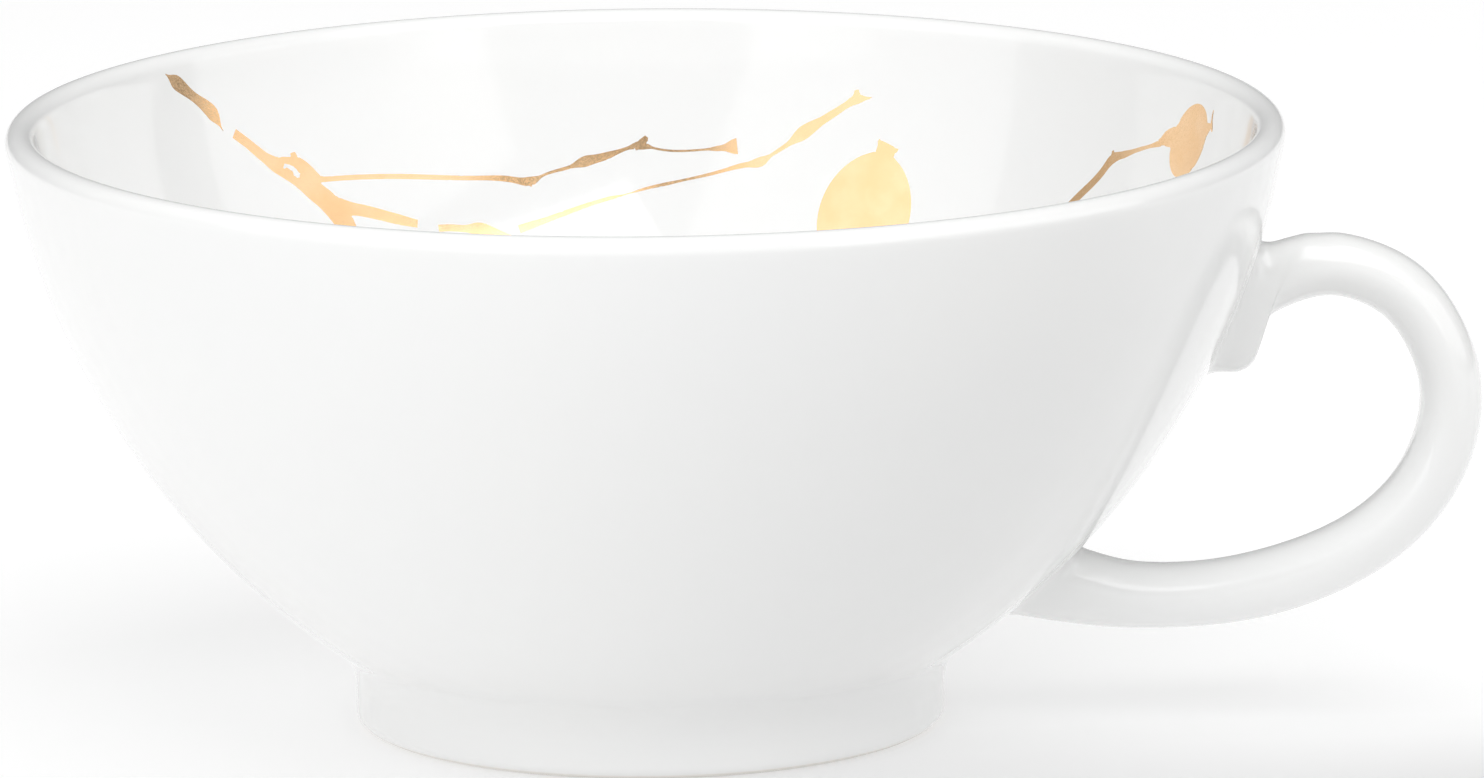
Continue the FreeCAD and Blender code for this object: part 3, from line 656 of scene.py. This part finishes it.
def decoration(material):
    """The gold on the far side of the inner wall, from left to right."""
    gold("bud_lustre", "gold_bud", material, [
        twig((-53.8, 1.35, 0.05), (-52.2, 2.4, 0.72), (-50.1, 3.9, 0.5), (-47.9, 5.6, 0.72),
             (-46.9, 7.3, 0.05)),
    ])
    trunk = twig((-45.6, 7.6, 0.5), (-44.0, 8.7, 0.5), (-42.2, 10.1, 0.55), (-41.0, 10.9, 0.72),
                 (-39.1, 12.1, 0.68), (-36.4, 13.9, 1.0), (-34.6, 15.6, 1.1), (-33.4, 18.2, 0.9),
                 (-33.0, 21.0, 0.8))
    side_shoot = twig((-40.9, 10.5, 0.25), (-39.3, 10.65, 0.3), (-38.3, 10.9, 0.5),
                      (-36.0, 13.1, 0.6))
    shoot_tip = twig((-38.6, 10.0, 0.3), (-38.3, 11.0, 0.45))
    limb = twig((-35.4, 14.6, 0.6), (-34.0, 15.2, 0.75), (-32.0, 15.65, 0.58), (-28.0, 16.7, 0.52),
                (-25.2, 17.4, 0.4))
    long_twig = twig((-36.6, 12.7, 0.3), (-34.0, 12.8, 0.27), (-26.0, 13.3, 0.27), (-18.0, 13.95, 0.25),
                     (-14.0, 14.3, 0.32), (-12.2, 14.5, 0.45), (-10.8, 14.05, 0.15), (-8.0, 13.45, 0.2),
                     (-6.3, 13.0, 0.52), (-4.6, 12.7, 0.4), (-2.0, 12.0, 0.2), (-0.4, 11.75, 0.4),
                     (1.0, 12.0, 0.13), (6.0, 12.1, 0.13), (7.8, 11.95, 0.3), (9.5, 11.75, 0.75))
    thorns = [twig((-1.2, 11.9, 0.3), (-0.2, 11.4, 0.42), (0.2, 10.85, 0.15)),
              twig((-12.3, 14.4, 0.35), (-12.1, 14.95, 0.1))]
    nick = twig((-39.7, 11.05, 0.06), (-38.9, 11.45, 0.16), (-38.3, 12.0, 0.06))
    branch = [trunk, side_shoot, shoot_tip, limb, long_twig, *thorns]
    gold("branch_lustre", "gold_branch", material, branch, [nick])
    gold("bough_lustre", "gold_bough", material, [
        twig((-23.2, 17.9, 0.35), (-21.6, 17.95, 0.35), (-20.2, 18.1, 0.35), (-18.2, 18.3, 0.65),
             (-16.6, 18.8, 0.55), (-15.0, 19.3, 0.45)),
    ])
    gold("middle_twig_lustre", "gold_middle_twig", material, [
        twig((-14.1, 18.5, 0.4), (-10.0, 17.6, 0.28), (-4.0, 16.2, 0.22), (-1.9, 15.82, 0.06),
             (0.0, 15.4, 0.16), (2.0, 15.05, 0.2), (4.0, 14.7, 0.15), (8.0, 13.9, 0.2),
             (10.4, 13.35, 0.28), (12.0, 13.05, 0.48), (13.2, 12.4, 0.2), (14.6, 11.6, 0.25),
             (16.4, 10.4, 0.65), (18.6, 9.1, 0.4), (20.6, 7.9, 0.35), (21.9, 7.1, 0.5)),
        twig((21.9, 7.4, 0.4), (21.5, 6.4, 0.3)),
        twig((21.6, 7.3, 0.45), (23.3, 7.1, 0.12)),
    ])
    gold("low_rosehip_lustre", "gold_low_rosehip", material, [
        egg(24.2, 17.0, 11.4, 9.0, 10.0),
        twig((25.0, 12.8, 1.0), (25.4, 11.7, 0.9), (25.8, 10.8, 1.2)),
        twig((23.2, 22.2, 0.7), (22.2, 26.4, 0.45), (19.8, 28.6, 0.6)),
    ])
    gold("side_rosehip_lustre", "gold_side_rosehip", material, [
        oval(67.6, 6.15, 7.2, 5.6, 33.0),
        twig((61.6, 7.2, 0.3), (63.4, 6.5, 0.85), (65.0, 6.3, 1.2)),
        twig((70.2, 5.0, 0.9), (71.9, 4.2, 0.35)),
        twig((71.8, 2.7, 0.1), (71.8, 3.7, 0.22), (72.1, 4.3, 0.3), (72.5, 4.75, 0.1)),
        twig((47.6, 16.8, 0.45), (50.6, 13.4, 0.42), (53.6, 10.6, 0.42), (54.6, 9.5, 0.5),
             (56.0, 9.0, 0.38), (58.0, 8.35, 0.25), (60.0, 7.75, 0.22), (62.2, 7.1, 0.35)),
        twig((54.3, 8.7, 0.2), (54.6, 9.4, 0.4)),
    ])


# ---------------------------------------------------------------- floor, light and camera

FLOOR_HALF = 6.0   # half the floor's width, in metres


def floor():
    """A pale floor with a painted glow, which lights the cup though it is no lamp, wide enough to fill
    every view.
    """
    corners = [(x * FLOOR_HALF, y * FLOOR_HALF, 0) for x, y in ((-1, -1), (1, -1), (1, 1), (-1, 1))]
    mesh = bpy.data.meshes.new("floor")
    mesh.from_pydata(corners, [], [(0, 1, 2, 3)])
    mesh.materials.append(glowing_floor())
    plane = bpy.data.objects.new("floor", mesh)
    bpy.context.scene.collection.objects.link(plane)


# Brightness of the room's left and right sides and of its front and back, where 1 is paper white.
ROOM_LEFT = 0.50
ROOM_RIGHT = 0.14
ROOM_ENDS = 0.40
ENDS_BLEND = (0.45, 0.85)   # the part of Y in a direction over which the ends' brightness comes in

# The bearing and height of each soft box in degrees, its distance, width and depth in metres, and
# its brightness.
SOFT_BOXES = {
    "key": (-140.0, 31.0, 1.2, 1.35, 1.35, 0.90),
    "fill": (-25.0, 19.5, 1.35, 1.75, 0.70, 0.98),
    "front": (-90.0, 8.0, 1.3, 2.6, 0.36, 0.50),
    "top": (-55.0, 66.0, 1.3, 1.4, 1.4, 2.1),
}
LIGHTS_FACE = Vector((0, 0, 0.03))   # the point that they face, in the cup


def soft_box(name, bearing, height, distance, width, depth, brightness):
    """A rectangular studio light that faces the cup. Its bearing is measured from +X, and its
    brightness is next to paper white."""
    turn, rise = math.radians(bearing), math.radians(height)
    way = Vector((math.cos(rise) * math.cos(turn), math.cos(rise) * math.sin(turn), math.sin(rise)))
    data = bpy.data.lights.new(name, "AREA")
    data.shape = "RECTANGLE"
    data.size = width
    data.size_y = depth
    data.energy = brightness * math.pi * width * depth
    light = bpy.data.objects.new(name, data)
    light.location = way * distance + LIGHTS_FACE
    light.rotation_euler = way.to_track_quat("Z", "Y").to_euler()
    light.visible_camera = False
    bpy.context.scene.collection.objects.link(light)


def studio():
    """A white room that is brighter on the left than on the right, with a large soft box at the
    front left, a wide one at the front right, a low strip in front and one high above."""
    world = bpy.data.worlds.new("studio")
    world.use_nodes = True
    tree = world.node_tree
    background = tree.nodes["Background"]
    background.inputs["Color"].default_value = (1.0, 1.0, 1.0, 1.0)
    axes = apart(tree, tree.nodes.new("ShaderNodeTexCoord").outputs["Generated"])
    sides = remap(tree, axes["X"], -1.0, 1.0, ROOM_LEFT, ROOM_RIGHT)
    away = tree.nodes.new("ShaderNodeMath")
    away.operation = "ABSOLUTE"
    tree.links.new(axes["Y"], away.inputs[0])
    ends = remap(tree, away.outputs["Value"], *ENDS_BLEND, 0.0, 1.0)
    tree.links.new(blend_value(tree, ends, sides, ROOM_ENDS), background.inputs["Strength"])
    bpy.context.scene.world = world
    for name, setting in SOFT_BOXES.items():
        soft_box(name, *setting)
    bpy.context.scene.view_settings.view_transform = "Standard"


CAMERA_AWAY = 1200.0     # mm from the cup's middle
CAMERA_RISE = 11.68      # degrees above the level of that middle
CAMERA_ROLL = -0.568     # degrees
CUP_MIDDLE = 27.0        # height of the cup's middle
VIEW_WIDTH = 127.931     # mm across the whole picture, at the cup's middle
AIM_RIGHT = 8.1034       # mm by which the camera looks past the cup's middle, to the right and up
AIM_UP = 1.6810


def camera():
    """A long lens, a little above the lip, looking along +Y."""
    elevation = math.radians(CAMERA_RISE)
    roll = math.radians(CAMERA_ROLL)
    middle = Vector((0, 0, CUP_MIDDLE))
    place = middle + CAMERA_AWAY * Vector((0, -math.cos(elevation), math.sin(elevation)))
    ahead = (middle - place).normalized()
    level = Vector((1, 0, 0))
    above = level.cross(ahead)
    right = math.cos(roll) * level + math.sin(roll) * above
    up = math.cos(roll) * above - math.sin(roll) * level
    ahead = (CAMERA_AWAY * ahead + AIM_RIGHT * right + AIM_UP * up).normalized()
    right = (right - ahead * right.dot(ahead)).normalized()
    up = right.cross(ahead)
    data = bpy.data.cameras.new("camera")
    data.sensor_width = 36.0
    data.lens = data.sensor_width * CAMERA_AWAY / VIEW_WIDTH
    data.clip_start = 0.05
    data.clip_end = 50.0
    view = bpy.data.objects.new("camera", data)
    turn = Matrix((right, up, -ahead)).transposed().to_4x4()
    view.matrix_world = Matrix.Translation(place * MM) @ turn
    bpy.context.scene.collection.objects.link(view)
    bpy.context.scene.camera = view


porcelain = glazed_porcelain()
turned_cup(porcelain)
handle(porcelain)
decoration(gold_lustre())
floor()
studio()
camera()
